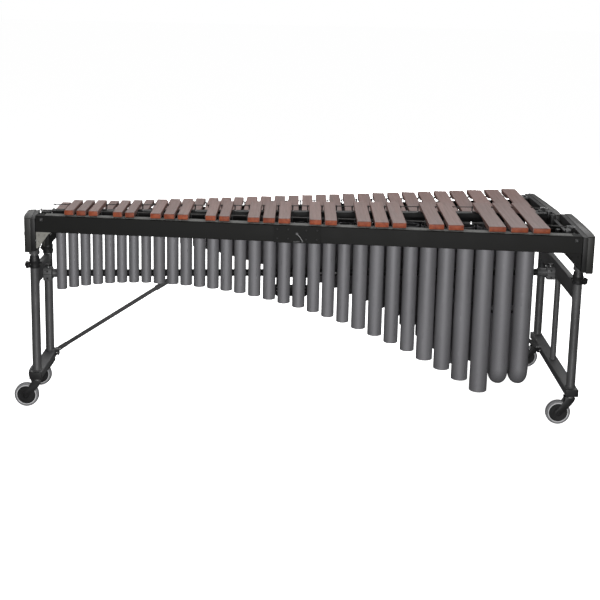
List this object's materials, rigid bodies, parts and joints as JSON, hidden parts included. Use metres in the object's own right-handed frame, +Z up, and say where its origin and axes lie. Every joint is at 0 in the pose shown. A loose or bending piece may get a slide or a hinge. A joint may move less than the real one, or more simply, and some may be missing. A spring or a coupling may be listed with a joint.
{
  "type": "concert marimba",
  "caption": "Concert marimba: graduated rosewood bars on cords over tuned tubes in an arch, on a height-adjustable stand with a centre beam, braces and swivel casters.",
  "frame": {"origin": "middle of the outline in plan, on the floor under the wheels, casters trailing towards the treble end", "axes": "+X along the keyboard to the bass end, +Y from the audience side with the front rail to the player's side, +Z up"},
  "size_m": [2.2981, 0.9812, 0.8412],
  "materials": {
    "rosewood": "satin oiled",
    "anthracite_tube": "satin dark anodised",
    "satin_black_paint": "satin",
    "charcoal_paint": "satin",
    "dark_grey_lacquer": "satin",
    "black_plastic": "satin",
    "grey_rubber": "matt",
    "bright_steel": "polished"
  },
  "bodies": {
    "stand": {"treble_upper_crossbar": "charcoal_paint", "treble_lower_crossbar": "charcoal_paint", "treble_beam_clamp": "black_plastic", "treble_brace": "charcoal_paint", "bass_upper_crossbar": "charcoal_paint", "bass_lower_crossbar": "charcoal_paint", "bass_beam_clamp": "black_plastic", "bass_brace": "charcoal_paint", "bass_middle_upright": "charcoal_paint", "centre_beam": "satin_black_paint", "beam_joint": "satin_black_paint", "treble_front_leg": "charcoal_paint", "treble_front_collar": "black_plastic", "treble_rear_leg": "charcoal_paint", "treble_rear_collar": "black_plastic", "bass_front_leg": "charcoal_paint", "bass_front_collar": "black_plastic", "bass_rear_leg": "charcoal_paint", "bass_rear_collar": "black_plastic"},
    "keyboard": {"bass_natural_bars": "rosewood", "treble_natural_bars": "rosewood", "bass_accidental_bars": "rosewood", "treble_accidental_bars": "rosewood", "accidental_front_support": "satin_black_paint", "accidental_rear_support": "satin_black_paint", "natural_front_support": "satin_black_paint", "natural_rear_support": "satin_black_paint", "bass_front_resonators": "anthracite_tube", "treble_front_resonators": "anthracite_tube", "bass_rear_resonators": "anthracite_tube", "treble_rear_resonators": "anthracite_tube", "bass_front_rail": "satin_black_paint", "treble_front_rail": "satin_black_paint", "splice_plate": "satin_black_paint", "treble_front_end_board": "dark_grey_lacquer", "treble_rear_end_board": "dark_grey_lacquer", "bass_front_end_board": "dark_grey_lacquer", "bass_rear_end_board": "dark_grey_lacquer", "treble_front_telescope": "charcoal_paint", "treble_rear_telescope": "charcoal_paint", "bass_front_telescope": "charcoal_paint", "bass_rear_telescope": "charcoal_paint"},
    "latch_hook": {"latch_hook": "bright_steel"},
    "treble_front_caster": {"treble_front_caster_fork": "black_plastic"},
    "treble_front_wheel": {"treble_front_caster_wheel": "grey_rubber"},
    "treble_front_leg_knob": {"treble_front_leg_knob": "black_plastic"},
    "treble_rear_caster": {"treble_rear_caster_fork": "black_plastic"},
    "treble_rear_wheel": {"treble_rear_caster_wheel": "grey_rubber"},
    "treble_rear_leg_knob": {"treble_rear_leg_knob": "black_plastic"},
    "bass_front_caster": {"bass_front_caster_fork": "black_plastic"},
    "bass_front_wheel": {"bass_front_caster_wheel": "grey_rubber"},
    "bass_front_leg_knob": {"bass_front_leg_knob": "black_plastic"},
    "bass_rear_caster": {"bass_rear_caster_fork": "black_plastic"},
    "bass_rear_wheel": {"bass_rear_caster_wheel": "grey_rubber"},
    "bass_rear_leg_knob": {"bass_rear_leg_knob": "black_plastic"},
    "treble_beam_clamp_knob": {"treble_beam_clamp_knob": "black_plastic"},
    "treble_brace_knob": {"treble_brace_knob": "black_plastic"},
    "bass_beam_clamp_knob": {"bass_beam_clamp_knob": "black_plastic"},
    "bass_brace_knob": {"bass_brace_knob": "black_plastic"}
  },
  "joints": [
    {"name": "keyboard_height", "type": "slide", "parent": "stand", "child": "keyboard", "axis": [0, 0, 1], "range_m": [0, 0.12]},
    {"name": "latch_turn", "type": "hinge", "parent": "keyboard", "child": "latch_hook", "pos_m": [-0.00205, -0.39994, 0.786], "axis": [-0.0766, -0.9971, 0], "range_deg": [0, 100]},
    {"name": "treble_front_swivel", "type": "hinge", "parent": "stand", "child": "treble_front_caster", "pos_m": [-1.05405, -0.2556, 0.12], "axis": [0, 0, 1], "continuous": true},
    {"name": "treble_front_wheel_roll", "type": "hinge", "parent": "treble_front_caster", "child": "treble_front_wheel", "pos_m": [-1.09905, -0.2556, 0.05], "axis": [0, 1, 0], "continuous": true},
    {"name": "treble_front_leg_knob_turn", "type": "hinge", "parent": "stand", "child": "treble_front_leg_knob", "pos_m": [-1.06947, -0.27102, 0.606], "axis": [-0.7071, -0.7071, 0], "continuous": true},
    {"name": "treble_rear_swivel", "type": "hinge", "parent": "stand", "child": "treble_rear_caster", "pos_m": [-1.05405, -0.0201, 0.12], "axis": [0, 0, 1], "continuous": true},
    {"name": "treble_rear_wheel_roll", "type": "hinge", "parent": "treble_rear_caster", "child": "treble_rear_wheel", "pos_m": [-1.09905, -0.0201, 0.05], "axis": [0, 1, 0], "continuous": true},
    {"name": "treble_rear_leg_knob_turn", "type": "hinge", "parent": "stand", "child": "treble_rear_leg_knob", "pos_m": [-1.06947, -0.00468, 0.606], "axis": [-0.7071, 0.7071, 0], "continuous": true},
    {"name": "bass_front_swivel", "type": "hinge", "parent": "stand", "child": "bass_front_caster", "pos_m": [1.11395, -0.3216, 0.12], "axis": [0, 0, 1], "continuous": true},
    {"name": "bass_front_wheel_roll", "type": "hinge", "parent": "bass_front_caster", "child": "bass_front_wheel", "pos_m": [1.06895, -0.3216, 0.05], "axis": [0, 1, 0], "continuous": true},
    {"name": "bass_front_leg_knob_turn", "type": "hinge", "parent": "stand", "child": "bass_front_leg_knob", "pos_m": [1.12936, -0.33702, 0.606], "axis": [0.7071, -0.7071, 0], "continuous": true},
    {"name": "bass_rear_swivel", "type": "hinge", "parent": "stand", "child": "bass_rear_caster", "pos_m": [1.11395, 0.3334, 0.12], "axis": [0, 0, 1], "continuous": true},
    {"name": "bass_rear_wheel_roll", "type": "hinge", "parent": "bass_rear_caster", "child": "bass_rear_wheel", "pos_m": [1.06895, 0.3334, 0.05], "axis": [0, 1, 0], "continuous": true},
    {"name": "bass_rear_leg_knob_turn", "type": "hinge", "parent": "stand", "child": "bass_rear_leg_knob", "pos_m": [1.12936, 0.34881, 0.606], "axis": [0.7071, 0.7071, 0], "continuous": true},
    {"name": "treble_beam_clamp_knob_turn", "type": "hinge", "parent": "stand", "child": "treble_beam_clamp_knob", "pos_m": [-1.02365, -0.1515, 0.5628], "axis": [0, 0, 1], "continuous": true},
    {"name": "treble_brace_knob_turn", "type": "hinge", "parent": "stand", "child": "treble_brace_knob", "pos_m": [-1.02875, -0.0086, 0.142], "axis": [1, 0, 0], "continuous": true},
    {"name": "bass_beam_clamp_knob_turn", "type": "hinge", "parent": "stand", "child": "bass_beam_clamp_knob", "pos_m": [1.08355, 0.0267, 0.5628], "axis": [0, 0, 1], "continuous": true},
    {"name": "bass_brace_knob_turn", "type": "hinge", "parent": "stand", "child": "bass_brace_knob", "pos_m": [1.08865, 0.1564, 0.142], "axis": [-1, 0, 0], "continuous": true}
  ]
}
